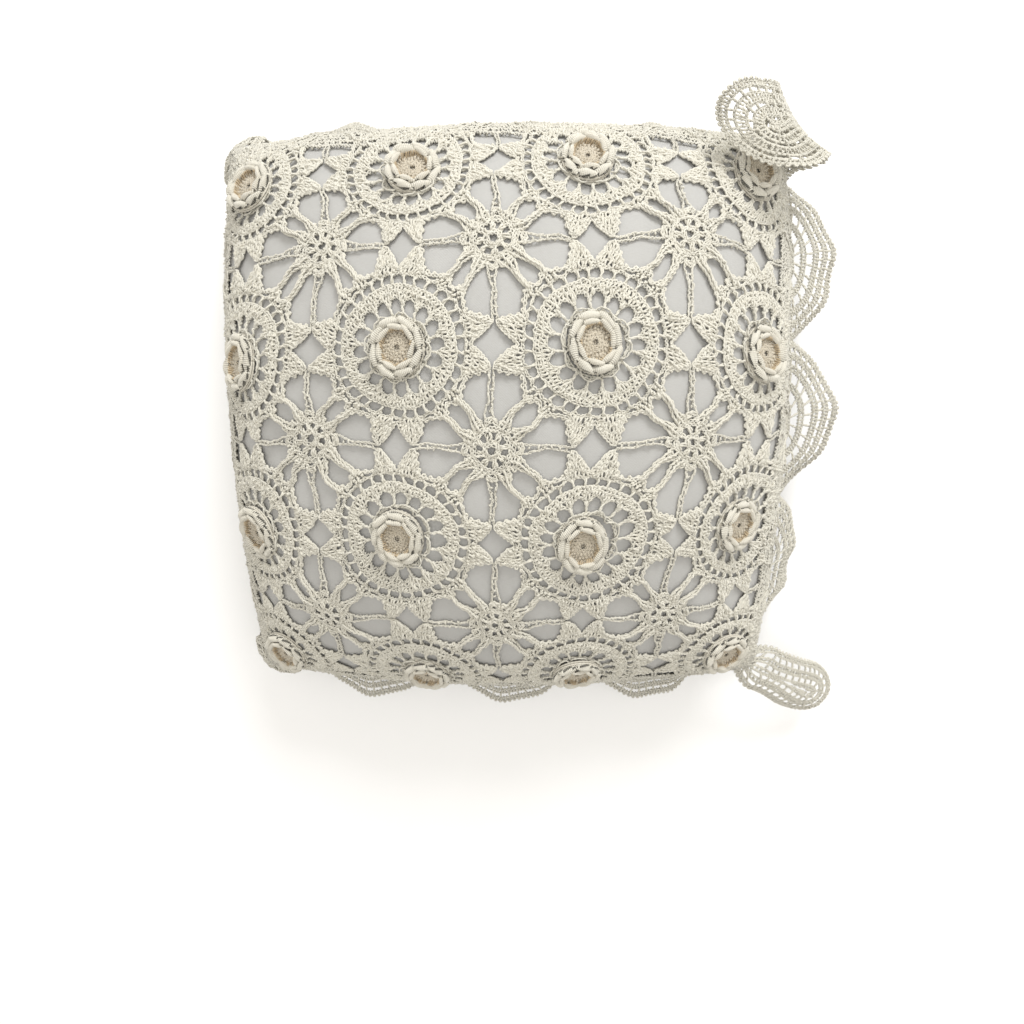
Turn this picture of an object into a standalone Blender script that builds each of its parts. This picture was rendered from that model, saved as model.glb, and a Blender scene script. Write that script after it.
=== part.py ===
"""Crochet lace ring bearer pillow, lying on its back with the lace side up.

A plump square insert (cotton casing in two panels, fibre filling) carries a lace cover of
four by four rose motifs joined by star motifs, with a scalloped edging round its seam.
Metres, +Z up; the origin is the middle of the flat patch of the back that the pillow lies on.
"""

import math

import bmesh
import bpy
from mathutils import Matrix, Vector

# ---- Driving dimensions -------------------------------------------------------------------
MOTIF_PITCH = 0.080        # centre to centre of two rose motifs, laid flat
MOTIFS_PER_SIDE = 4
HALF_WIDTH = 0.131         # from the middle of the insert to its seam at mid side
FRONT_HEIGHT = 0.068       # top of the front panel above the seam
BACK_DEPTH = 0.050         # how deep the back panel would bulge if it hung free
REST_DEPTH = 0.044         # seam above the surface the pillow lies on, which flattens the back
PROFILE_POWER = 1.05       # 1 is an ellipse, less is a fuller cushion
CORNER_ROUNDING = 0.22     # 0 is a square outline, 1 a disc
CASING_WALL = 0.0012       # cotton casing with its turned-in hems
CLEARANCE = 0.0003         # between faces that touch
LACE_LIFT = 0.0010         # underside of the lace above the casing
LACE_THICKNESS = 0.0020
CASING_CELLS = 12          # facets along each side of the casing
ARC_STEPS = 400            # steps of the sum that measures the front panel's curve
EDGING_STEPS = 6           # facets of the edging along one motif pitch

# Rose motif, as shares of the pitch from its centre
MOTIF_HUB = 0.20           # ring where the motif's dense middle ends
DIAMOND_CORNER = 0.385     # near corner of the diamond opening between two motifs
TIP_SIDE = 0.100           # a joining tip's distance to the side of the axis
SHOULDER = (0.335, 0.130)  # where a joining tip meets the body of the motif
CORNER = (0.330, 0.235)    # corner beside the diagonal, where a star's spoke ties on

# Star motif, as shares of the pitch from its centre
STAR_HUB = 1 / EDGING_STEPS    # so that a half star's hub ends on the edging's facets
SPOKES = 12
AXIS_REACH = 0.390         # spokes along the rows end at the diamond's tip
DIAGONAL_REACH = 0.308     # spokes beside the diagonal end at a motif's corner
SPOKE_WIDTH = 0.0034

# Rose, standing on its motif: radius and height from the middle of its top to its underside
ROSE_PETALS = 6
ROSE_PROFILE = ((0.0055, 0.0024), (0.0062, 0.0012), (0.0076, 0.0050), (0.0092, 0.0020),
                (0.0110, 0.0060), (0.0131, 0.0032), (0.0120, 0.0))
PETAL_START = 0.0100
PETAL_DEPTH = 0.0006       # how far the outer ring draws in between two petals

# Scalloped edging
EDGING_THICKNESS = 0.0012
EDGING_BAND = 0.011        # least width, opposite a rose
SCALLOP_WIDTH = 0.036      # greatest width, opposite a half star
EDGING_ROWS = (0.4, 1.0)   # rows of facets, as shares of the width
DROOP_DEG = {"right": 34.0, "top": 68.0, "left": 72.0, "bottom": 40.0}
LOBE_INSET = 0.003         # start of a corner's lobe past the end of a side's edging
SCALLOP_ROUNDNESS = 0.8    # power of the scallop's swing: less is a blunter tip
LOBE_POINTS = 5            # across a corner's lobe
LOBE_HALF_WIDTHS = (0.012, 0.018, 0.021, 0.020, 0.012)
# Middle line of each corner's lobe from the corner of the seam: outward, sideways and up. The
# first number is how far outward is turned from the diagonal, in degrees. One lobe is folded over
# the front, two are tucked under and one lies spread.
FOLDED_LINE = ((0.008, 0.001, 0.007), (0.008, 0.003, 0.016), (-0.003, 0.007, 0.030),
               (-0.018, 0.011, 0.036), (-0.033, 0.014, 0.036))
TUCKED_LINE = ((0.007, 0.0, -0.012), (0.009, 0.0, -0.025), (0.005, 0.0, -0.036),
               (-0.006, 0.0, -0.041), (-0.017, 0.0, -0.042))
SPREAD_LINE = ((0.010, 0.0, -0.003), (0.021, 0.0, -0.008), (0.031, 0.0, -0.013),
               (0.041, 0.0, -0.018), (0.051, 0.0, -0.023))
LOBES = {"top_right": (-10.0, FOLDED_LINE), "top_left": (0.0, TUCKED_LINE),
         "bottom_left": (0.0, TUCKED_LINE), "bottom_right": (14.0, SPREAD_LINE)}

# ---- Values that follow ---------------------------------------------------------------------
LACE_HALF = MOTIFS_PER_SIDE * MOTIF_PITCH / 2
SIDES = ("right", "top", "left", "bottom")
LACE_TOP = LACE_LIFT + LACE_THICKNESS
ROW_OFFSETS = [(i - (MOTIFS_PER_SIDE - 1) / 2) * MOTIF_PITCH for i in range(MOTIFS_PER_SIDE)]
STAR_OFFSETS = [(i - (MOTIFS_PER_SIDE - 2) / 2) * MOTIF_PITCH for i in range(MOTIFS_PER_SIDE - 1)]


def curve_table():
    """Distances over the front from its middle to the seam, one for each equal step of angle."""
    distances = [0.0]
    last = (0.0, FRONT_HEIGHT)
    for step in range(1, ARC_STEPS + 1):
        angle = math.pi / 2 * step / ARC_STEPS
        rise = FRONT_HEIGHT * max(math.cos(angle), 0.0) ** PROFILE_POWER
        here = (HALF_WIDTH * math.sin(angle), rise)
        distances.append(distances[-1] + math.dist(last, here))
        last = here
    return distances


CURVE = curve_table()


def angle_at(flat):
    """Angle round the cushion for a flat distance over the lace, which just reaches the seam."""
    wanted = min(abs(flat) / LACE_HALF, 1.0) * CURVE[-1]
    low, high = 0, ARC_STEPS
    while high - low > 1:
        middle = (low + high) // 2
        if CURVE[middle] <= wanted:
            low = middle
        else:
            high = middle
    share = (wanted - CURVE[low]) / (CURVE[high] - CURVE[low])
    return math.copysign(math.pi / 2 * (low + share) / ARC_STEPS, flat)


def cushion_point(u, v, height=0.0, back=False):
    """Point over flat lace coordinates u, v, height outside the casing, on the front or back."""
    across, along = angle_at(u), angle_at(v)
    sx, sy = math.sin(across), math.sin(along)
    x = (HALF_WIDTH + height) * sx * math.sqrt(1 - CORNER_ROUNDING * sy * sy / 2)
    y = (HALF_WIDTH + height) * sy * math.sqrt(1 - CORNER_ROUNDING * sx * sx / 2)
    bulge = max(math.cos(across) * math.cos(along), 0.0) ** PROFILE_POWER
    if back:
        deepest = REST_DEPTH + height - CLEARANCE / 2
        return Vector((x, y, REST_DEPTH - min((BACK_DEPTH + height) * bulge, deepest)))
    return Vector((x, y, REST_DEPTH + (FRONT_HEIGHT + height) * bulge))


def cushion_normal(u, v):
    step = MOTIF_PITCH / 40
    across = cushion_point(u + step, v) - cushion_point(u - step, v)
    along = cushion_point(u, v + step) - cushion_point(u, v - step)
    return across.cross(along).normalized()


# ---- Materials and objects -----------------------------------------------------------------
def material(name, colour, roughness):
    made = bpy.data.materials.new(name)
    made.use_nodes = True
    shader = made.node_tree.nodes["Principled BSDF"]
    shader.inputs["Base Color"].default_value = (*colour, 1.0)
    shader.inputs["Roughness"].default_value = roughness
    shader.inputs["Metallic"].default_value = 0.0
    return made


def add_object(name, bm, finish):
    if bm.calc_volume(signed=True) < 0:
        bmesh.ops.reverse_faces(bm, faces=bm.faces)
    mesh = bpy.data.meshes.new(name)
    bm.to_mesh(mesh)
    bm.free()
    mesh.materials.append(finish)
    made = bpy.data.objects.new(name, mesh)
    bpy.context.scene.collection.objects.link(made)
    return made


def add_plate(bm, tops, bottoms, faces):
    """Closed plate between two layers of matching points; its rim follows the faces' open edges."""
    above = [bm.verts.new(p) for p in tops]
    below = [bm.verts.new(p) for p in bottoms]
    edges = set()
    for face in faces:
        bm.faces.new([above[i] for i in face])
        bm.faces.new([below[i] for i in reversed(face)])
        edges.update(zip(face, face[1:] + face[:1]))
    for here, after in sorted(edges):
        if (after, here) not in edges:
            bm.faces.new((above[here], below[here], below[after], above[after]))


def grid_faces(columns, rows):
    """Triangles of a grid whose points are stored row by row, cut along the way to its middle."""
    wide = columns + 1
    faces = []
    for r in range(rows):
        for c in range(columns):
            a, b = r * wide + c, r * wide + c + 1
            d, e = a + wide, b + wide
            if (2 * c + 1 - columns) * (2 * r + 1 - rows) < 0:
                faces.extend([(a, b, d), (b, e, d)])
            else:
                faces.extend([(a, b, e), (a, e, d)])
    return faces


# ---- Insert --------------------------------------------------------------------------------
def casing_flats():
    return [LACE_HALF * (2 * i / CASING_CELLS - 1) for i in range(CASING_CELLS + 1)]


def add_casing_panel(name, back, finish):
    """One cotton panel: a thin bowl from the seam over the front or back of the filling."""
    bm = bmesh.new()
    flats = casing_flats()
    seam_step = Vector((0, 0, -CLEARANCE / 2 if back else CLEARANCE / 2))
    outside = [cushion_point(u, v, 0.0, back) + seam_step for v in flats for u in flats]
    inside = [cushion_point(u, v, -CASING_WALL, back) + seam_step for v in flats for u in flats]
    add_plate(bm, outside, inside, grid_faces(CASING_CELLS, CASING_CELLS))
    return add_object(name, bm, finish)


def add_filling(finish):
    """Body of fibre that fills the casing; its two halves share the points at the seam."""
    bm = bmesh.new()
    flats = casing_flats()
    inset = -(CASING_WALL + CLEARANCE)
    front = [bm.verts.new(cushion_point(u, v, inset)) for v in flats for u in flats]
    back = [vert if LACE_HALF in (abs(u), abs(v)) else bm.verts.new(cushion_point(u, v, inset, True))
            for vert, (u, v) in zip(front, [(u, v) for v in flats for u in flats])]
    for face in grid_faces(CASING_CELLS, CASING_CELLS):
        bm.faces.new([front[i] for i in face])
        bm.faces.new([back[i] for i in reversed(face)])
    return add_object("fibre_filling", bm, finish)


# ---- Lace cover ----------------------------------------------------------------------------
def add_lace(bm, flat, faces):
    """Lace plate over flat points, following the cushion."""
    tops = [cushion_point(u, v, LACE_TOP) for u, v in flat]
    undersides = [cushion_point(u, v, LACE_LIFT) for u, v in flat]
    add_plate(bm, tops, undersides, faces)


def motif_outline():
    """Eight joining tips, with a corner on each side of every diagonal."""
    p = MOTIF_PITCH
    reach = p / 2 - CLEARANCE / 2
    tip = TIP_SIDE * p
    shoulder = (SHOULDER[0] * p, SHOULDER[1] * p)
    corner = (CORNER[0] * p, CORNER[1] * p)
    quarter = [(DIAMOND_CORNER * p, 0.0), (reach, tip), shoulder, corner, corner[::-1], shoulder[::-1],
               (tip, reach)]
    points = []
    for _ in range(4):
        points.extend(quarter)
        quarter = [(-y, x) for x, y in quarter]
    return points


def add_motif(name, u0, v0, finish):
    bm = bmesh.new()
    outer = motif_outline()
    count = len(outer)
    hub = [Vector(p).normalized() * MOTIF_HUB * MOTIF_PITCH for p in outer]
    flat = [(u0 + x, v0 + y) for x, y in [(0.0, 0.0)] + [tuple(p) for p in hub] + outer]
    faces = []
    for i in range(count):
        after = (i + 1) % count
        faces.append((0, 1 + i, 1 + after))
        faces.append((1 + i, 1 + count + i, 1 + count + after, 1 + after))
    add_lace(bm, flat, faces)
    return add_object(name, bm, finish)


def star_points(first_spoke, spokes):
    """Flat points round a star's middle and the faces between them, point 0 being the middle.

    Fewer spokes than SPOKES make the half star at an edge; its hub ends on the seam, and those
    two corners are points 1 and 2."""
    whole = spokes == SPOKES
    step = 2 * math.pi / SPOKES
    hub = STAR_HUB * MOTIF_PITCH
    points, faces = [(0.0, 0.0)], []

    def put(radius, angle, side=0.0):
        points.append((radius * math.cos(angle) - side * math.sin(angle),
                       radius * math.sin(angle) + side * math.cos(angle)))
        return len(points) - 1

    if not whole:
        start, end = put(hub, (first_spoke - 1) * step), put(hub, (first_spoke + spokes) * step)
    valleys = [put(hub, (first_spoke + i - 0.5) * step) for i in range(spokes + (0 if whole else 1))]
    if not whole:
        faces.extend([(0, start, valleys[0]), (0, valleys[-1], end)])
    for i in range(spokes):
        angle = (first_spoke + i) * step
        on_axis = (first_spoke + i) % (SPOKES // 4) == 0
        reach = (AXIS_REACH if on_axis else DIAGONAL_REACH) * MOTIF_PITCH
        middle, half = (hub + reach) / 2, SPOKE_WIDTH / 2
        near, far = valleys[i], valleys[(i + 1) % len(valleys)]
        m0, m1 = put(middle, angle, -half), put(middle, angle, half)
        t0, t1 = put(reach, angle, -half), put(reach, angle, half)
        faces.extend([(0, near, far), (near, m0, m1, far), (m0, t0, t1, m1)])
    return points, faces


def add_star(name, u0, v0, finish):
    bm = bmesh.new()
    points, faces = star_points(0, SPOKES)
    add_lace(bm, [(u0 + x, v0 + y) for x, y in points], faces)
    return add_object(name, bm, finish)


# ---- Roses ---------------------------------------------------------------------------------
def rose_mesh(finish):
    """Coiled middle and two rings of petals as one turned body, standing on Z 0."""
    bm = bmesh.new()
    segments = 2 * ROSE_PETALS
    loops = []
    for i in range(segments):
        angle = 2 * math.pi * i / segments
        drawn = PETAL_DEPTH * (i % 2)
        radii = [(r - (drawn if r > PETAL_START else 0.0), z) for r, z in ROSE_PROFILE]
        loops.append([bm.verts.new((r * math.cos(angle), r * math.sin(angle), z)) for r, z in radii])
    for here, after in zip(loops, loops[1:] + loops[:1]):
        for n in range(len(ROSE_PROFILE) - 1):
            bm.faces.new((here[n], here[n + 1], after[n + 1], after[n]))
    bm.faces.new([loop[0] for loop in loops])
    bm.faces.new([loop[-1] for loop in reversed(loops)])
    mesh = bpy.data.meshes.new("rose")
    bm.to_mesh(mesh)
    bm.free()
    mesh.materials.append(finish)
    return mesh


def add_rose(name, mesh, u, v):
    """A rose stands square to the cushion on the middle of its motif."""
    up = cushion_normal(u, v)
    side = (cushion_point(u + MOTIF_PITCH / 8, v) - cushion_point(u, v)).normalized()
    ahead = up.cross(side).normalized()
    side = ahead.cross(up)
    seat = cushion_point(u, v, LACE_TOP) + up * CLEARANCE
    placed = Matrix((side, ahead, up)).transposed().to_4x4()
    placed.translation = seat
    made = bpy.data.objects.new(name, mesh)
    made.matrix_world = placed
    bpy.context.scene.collection.objects.link(made)
    return made


# ---- Scalloped edging ------------------------------------------------------------------------
def turned(point, turns):
    return Matrix.Rotation(turns * math.pi / 2, 4, "Z") @ point


def beside_seam(along, height):
    """Point just under the seam of the right side, height outside the casing."""
    return cushion_point(LACE_HALF, along, height) - Vector((0, 0, CLEARANCE))


def outward_at(along):
    step = MOTIF_PITCH / ARC_STEPS
    tangent = beside_seam(along + step, 0.0) - beside_seam(along - step, 0.0)
    return Vector((tangent.y, -tangent.x, 0.0)).normalized()


def scallop_reach(along):
    """Width of the edging: widest opposite each half star, narrow opposite each rose."""
    swing = abs(math.cos(math.pi * along / MOTIF_PITCH)) ** SCALLOP_ROUNDNESS
    return EDGING_BAND + (SCALLOP_WIDTH - EDGING_BAND) * swing


def add_edging_side(side, finish):
    """Edging of one side with the half stars it is worked into, from its right-side position."""
    bm = bmesh.new()
    droop = math.radians(DROOP_DEG[side])
    columns = (MOTIFS_PER_SIDE - 1) * EDGING_STEPS
    span = (MOTIFS_PER_SIDE - 1) * MOTIF_PITCH - 2 * CLEARANCE
    along = [span * (i / columns - 0.5) for i in range(columns + 1)]
    tops = [beside_seam(w, LACE_TOP) for w in along]
    undersides = [beside_seam(w, LACE_LIFT) for w in along]
    for share in EDGING_ROWS:
        for w in along:
            outward = outward_at(w)
            fall = outward * math.cos(droop) - Vector((0, 0, math.sin(droop)))
            across = outward * math.sin(droop) + Vector((0, 0, math.cos(droop)))
            point = beside_seam(w, LACE_TOP) + fall * scallop_reach(w) * share
            tops.append(point)
            undersides.append(point - across * EDGING_THICKNESS)
    faces = [face[::-1] for face in grid_faces(columns, len(EDGING_ROWS))]
    half_spokes = SPOKES // 2 - 1
    points, star_faces = star_points(SPOKES // 4 + 1, half_spokes)
    for offset in STAR_OFFSETS:
        middle = round((offset / span + 0.5) * columns)
        # The star's middle and the two ends of its hub are already on the seam
        shared = {0: middle, 1: middle + 1, 2: middle - 1}
        index = dict(shared)
        for n, (x, y) in enumerate(points):
            if n not in shared:
                index[n] = len(tops)
                tops.append(cushion_point(LACE_HALF + x, offset + y, LACE_TOP))
                undersides.append(cushion_point(LACE_HALF + x, offset + y, LACE_LIFT))
        faces.extend(tuple(index[n] for n in face) for face in star_faces)
    turns = SIDES.index(side)
    add_plate(bm, [turned(p, turns) for p in tops], [turned(p, turns) for p in undersides], faces)
    return add_object("edging_" + side, bm, finish)


def lobe_base(turns):
    """Five points round a corner of the seam, between the ends of two sides' edgings."""
    end = (MOTIFS_PER_SIDE - 1) * MOTIF_PITCH / 2 + LOBE_INSET
    height = LACE_TOP + CLEARANCE
    before = [beside_seam(w, height) for w in (end, (end + LACE_HALF) / 2, LACE_HALF)]
    after = [turned(beside_seam(-w, height), 1) for w in ((end + LACE_HALF) / 2, end)]
    return [turned(p, turns) for p in before + after]


def add_lobe(corner, turns, finish):
    """Tongue of edging at a corner of the cover."""
    bm = bmesh.new()
    lean, path = LOBES[corner]
    angle = math.radians(45.0 + lean)
    outward = turned(Vector((math.cos(angle), math.sin(angle), 0.0)), turns)
    sideways = turned(Vector((-math.sin(angle), math.cos(angle), 0.0)), turns)
    rows = [lobe_base(turns)]
    start = rows[0][LOBE_POINTS // 2]
    line = [start + outward * a + sideways * b + Vector((0, 0, c)) for a, b, c in path]
    shares = [1 - 2 * j / (LOBE_POINTS - 1) for j in range(LOBE_POINTS)]
    for middle, half in zip(line, LOBE_HALF_WIDTHS):
        rows.append([middle - sideways * half * share for share in shares])
    line.insert(0, start)
    through = []
    for n in range(len(line)):
        ahead = line[min(n + 1, len(line) - 1)] - line[max(n - 1, 0)]
        through.append(ahead.cross(sideways).normalized())
    tops = [p for row in rows for p in row]
    undersides = [p - through[n] * EDGING_THICKNESS for n, row in enumerate(rows) for p in row]
    add_plate(bm, tops, undersides, grid_faces(LOBE_POINTS - 1, len(rows) - 1))
    return add_object("edging_" + corner, bm, finish)


# ---- The pillow ------------------------------------------------------------------------------
def main():
    for old in list(bpy.data.objects):
        bpy.data.objects.remove(old)
    cotton = material("casing_cotton", (0.86, 0.84, 0.80), 0.85)
    fibre = material("fibre", (0.90, 0.90, 0.88), 1.0)
    thread = material("crochet_cotton", (0.84, 0.79, 0.68), 0.8)
    petals = material("rose_cotton", (0.84, 0.76, 0.62), 0.8)

    add_filling(fibre)
    add_casing_panel("casing_front", False, cotton)
    add_casing_panel("casing_back", True, cotton)

    roses = rose_mesh(petals)
    for row, v in enumerate(reversed(ROW_OFFSETS), 1):
        for column, u in enumerate(ROW_OFFSETS, 1):
            add_motif(f"motif_r{row}c{column}", u, v, thread)
            add_rose(f"rose_r{row}c{column}", roses, u, v)

    for row, v in enumerate(reversed(STAR_OFFSETS), 1):
        for column, u in enumerate(STAR_OFFSETS, 1):
            add_star(f"star_r{row}c{column}", u, v, thread)

    for side in SIDES:
        add_edging_side(side, thread)

    for turns, corner in enumerate(LOBES):
        add_lobe(corner, turns, thread)


main()
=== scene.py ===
"""Looks of the crochet lace ring bearer pillow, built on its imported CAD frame.

The lace is real stitch work: a chain or a post is a pair of strands wound round each other, and a
picot is a loop of one. They are drawn flat in millimetres and then laid on the cushion. Lengths in
this file are millimetres unless a comment says metres; the lay functions turn them into metres.
"""
import math

import bpy
import numpy as np
from mathutils import Matrix, Vector


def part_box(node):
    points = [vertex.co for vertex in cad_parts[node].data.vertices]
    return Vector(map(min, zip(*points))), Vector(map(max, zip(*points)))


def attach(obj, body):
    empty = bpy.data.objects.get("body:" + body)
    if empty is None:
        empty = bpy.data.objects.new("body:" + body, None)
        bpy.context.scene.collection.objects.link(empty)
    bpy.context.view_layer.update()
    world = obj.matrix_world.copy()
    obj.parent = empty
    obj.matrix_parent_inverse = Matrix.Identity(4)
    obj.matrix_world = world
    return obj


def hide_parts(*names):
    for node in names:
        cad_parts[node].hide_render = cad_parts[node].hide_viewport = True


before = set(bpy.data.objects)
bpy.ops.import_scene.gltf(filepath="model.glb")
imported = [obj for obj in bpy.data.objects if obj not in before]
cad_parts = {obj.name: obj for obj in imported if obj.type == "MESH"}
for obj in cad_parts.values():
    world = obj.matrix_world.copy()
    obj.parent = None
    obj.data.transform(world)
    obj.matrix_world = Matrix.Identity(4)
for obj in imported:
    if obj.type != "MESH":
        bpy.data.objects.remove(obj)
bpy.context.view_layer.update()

# ---- The frame's sizes ----
CASING_LOW, CASING_HIGH = (np.array(corner) * 1000 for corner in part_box("casing_front"))
HALF = (CASING_HIGH[0] - CASING_LOW[0]) / 2    # middle of the insert to its seam
SEAM_Z = CASING_LOW[2]    # the seam above the floor
FRONT = CASING_HIGH[2] - CASING_LOW[2]    # top of the front above the seam
BACK = 50.0    # depth of the back if it hung free
BACK_GAP = 0.2    # the flattened back above the floor
PROFILE_POWER = 1.05
CORNER_ROUNDING = 0.22
PITCH = 80.0    # from rose to rose, laid flat
LACE_HALF = 2 * PITCH    # from the middle of the flat lace to the seam
ROWS = [1.5, 0.5, -0.5, -1.5]    # rose rows and columns, in pitches from the middle
STAR_ROWS = [1.0, 0.0, -1.0]

# ---- Thread and stitches ----
STRAND = 0.49    # radius of one leg of a stitch
STITCH = 1.7    # length of a chain stitch
LEG_GAP = 0.44    # from a stitch's middle line to each of its two legs
LACE_HEIGHT = 0.95    # middle of the lace above the casing
UNEVEN = 0.2    # how far a hand-made post strays

# Rose motif, radii from its middle
LOOP_COUNT = 8    # loops behind the rose
ARCH_COUNT, ARCH_FOOT, ARCH_SPRING, ARCH_TOP = 16, 12.8, 16.4, 20.2
BAND_POSTS, BAND_TOP = 92, 24.2
HOLE_COUNT, HOLE_TOP = 32, 28.8
OUTER_ROWS = 3
# Outline of an eighth of the motif: angle in degrees and radius. It goes from the diamond opening
# by the joining tip and the corners beside the diagonal to the diagonal itself.
OUTLINE = ((0.0, 30.6), (11.6, 40.8), (20.4, 30.6), (29.0, 31.2), (38.5, 33.8), (45.0, 30.8))

# Star: radii of its hole, ring and hub, and how far its spokes reach on an axis and a diagonal
STAR_HOLE, STAR_EYELETS, STAR_RING, STAR_HUB = 2.3, 8, 7.6, 12.4
AXIS_REACH, DIAGONAL_REACH = 31.4, 25.0
SPOKE_STEP = 30.0    # degrees between spokes
SPOKE_TURN = 5.0    # degrees that a diagonal spoke turns toward the nearest motif's corner
SPOKE_BARS = 7


# ---- Maps from flat lace to space ----
def unit(vectors):
    return vectors / np.maximum(np.linalg.norm(vectors, axis=-1, keepdims=True), 1e-9)


ANGLES = np.linspace(0, np.pi / 2, 900)
CURVE_X, CURVE_Z = HALF * np.sin(ANGLES), FRONT * np.maximum(np.cos(ANGLES), 0) ** PROFILE_POWER
CURVE = np.concatenate([[0], np.cumsum(np.hypot(np.diff(CURVE_X), np.diff(CURVE_Z)))])


def angle_at(flat):
    share = np.clip(np.abs(flat) / LACE_HALF, 0, 1)
    return np.sign(flat) * np.interp(share * CURVE[-1], CURVE, ANGLES)


def cushion(u, v, back=False, height=0.0):
    """Point on the casing over flat u, v, in millimetres."""
    across, along = angle_at(u), angle_at(v)
    sx, sy = np.sin(across), np.sin(along)
    x = (HALF + height) * sx * np.sqrt(1 - CORNER_ROUNDING * sy * sy / 2)
    y = (HALF + height) * sy * np.sqrt(1 - CORNER_ROUNDING * sx * sx / 2)
    bulge = np.maximum(np.cos(across) * np.cos(along), 0) ** PROFILE_POWER
    if back:
        z = SEAM_Z - np.minimum((BACK + height) * bulge, SEAM_Z - BACK_GAP)
    else:
        z = SEAM_Z + (FRONT + height) * bulge
    return np.stack([x, y, z], axis=-1)


# Hills and hollows of the filling: flat place, radius and height
HILLS = ((-70, -5, 34, -2.6), (-112, 30, 26, 1.6), (40, 60, 45, 0.8), (60, -70, 40, -1.0),
         (-20, -110, 40, 1.0), (118, -58, 30, -2.2), (-60, 90, 36, -0.8))
RIPPLE = 0.35    # height of the small waves between them
HILL_FADE = 25    # the filling is even at the seam


def from_seam(u, v):
    """How far a flat point is inside the seam."""
    return LACE_HALF - np.maximum(np.abs(u), np.abs(v))


def soft(u, v):
    """Unevenness of the filling under the lace, along the normal."""
    total = RIPPLE * np.sin(u / 17 + 0.6) * np.sin(v / 21 + 1.1)
    for u0, v0, radius, height in HILLS:
        total = total + height * np.exp(-((u - u0) ** 2 + (v - v0) ** 2) / radius ** 2)
    return total * np.clip(from_seam(u, v) / HILL_FADE, 0, 1)


def normal_at(u, v):
    """Direction out of the cushion, from two short steps across its front."""
    step = 0.6
    limit = LACE_HALF - 1.5
    u, v = np.clip(u, -limit, limit), np.clip(v, -limit, limit)
    across = cushion(u + step, v) - cushion(u - step, v)
    along = cushion(u, v + step) - cushion(u, v - step)
    return unit(np.cross(across, along))


def lay_on_front(points):
    """Flat x, y and height to metres, with the direction out of the cushion."""
    flat = points[..., :2] + pulled(points)
    u, v = flat[..., 0], flat[..., 1]
    height = points[..., 2] + np.abs(waves(points, *LIFT_WAVES)[..., 0])
    up = normal_at(u, v)
    place = cushion(u, v) + up * (height + soft(u, v))[..., None]
    return place / 1000, up


# How far the lace was pulled from its even lattice when it was sewn on: as a whole, and then at
# single motifs and stars, as flat place and flat pull
COVER_SHIFT = (-1.7, -5.4)
PULLS = ((-120, 120, 0, -1), (-40, 120, 4, -4), (40, 120, -1, 0), (120, 120, 3, 3), (-120, 40, 1, -5),
         (-40, 40, 2, -1), (120, 40, 0, -2), (-120, -40, 2, -4), (-40, -40, 0, 2), (40, -40, -3, -1),
         (120, -40, -8, 0), (-120, -120, 0, -1), (-40, -120, 3, 0), (40, -120, -3, 3), (120, -120, -1, 3),
         (-80, 80, 6, 4), (0, 80, 0, 3), (80, 80, 2, 7), (-80, 0, -1, 2), (0, 0, -1, -1), (80, 0, 3, 1),
         (-80, -80, -3, -3), (0, -80, -1, -1), (80, -80, -3, -2))
PULL_REACH = 30.0
SEAM_FADE = 34.0
# Waves are a seed, a size and a length
DRIFT_WAVES = ((5, 0.9, 34), (6, 0.3, 7), (8, 0.16, 2.7))    # of the lace, sideways
LIFT_WAVES = (9, 0.5, 3.4)    # of the lace, off the casing
CREASE_WAVES = (11, 0.3, 19)    # of the casing's cotton


def pulled(points):
    """Sideways move of flat points. It dies away at the seam, where the lace is sewn down."""
    moved = np.zeros(points.shape[:-1] + (2,))
    for x, y, across, along in PULLS:
        near = np.exp(-((points[..., 0] - x) ** 2 + (points[..., 1] - y) ** 2) / PULL_REACH ** 2)
        moved += near[..., None] * np.array([across, along])
    moved += COVER_SHIFT
    moved += sum(waves(points, *kind) for kind in DRIFT_WAVES)
    fade = np.clip(from_seam(points[..., 0], points[..., 1]) / SEAM_FADE, 0, 1)
    return moved * smooth_step(fade)[..., None]


def smooth_step(share):
    return share * share * (3 - 2 * share)


def waves(points, seed, size, length):
    """Smooth sideways drift of flat points, the same wherever two pieces meet."""
    rng = np.random.default_rng(seed)
    moved = np.zeros(points.shape[:-1] + (2,))
    wave_count = 7
    for _ in range(wave_count):
        direction = rng.normal(size=2)
        k = direction / np.linalg.norm(direction) * 2 * np.pi / (length * rng.uniform(0.7, 1.5))
        phase = points[..., 0] * k[0] + points[..., 1] * k[1] + rng.uniform(0, 2 * np.pi)
        moved += np.sin(phase)[..., None] * rng.normal(size=2)
    return moved * size / 3


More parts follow.
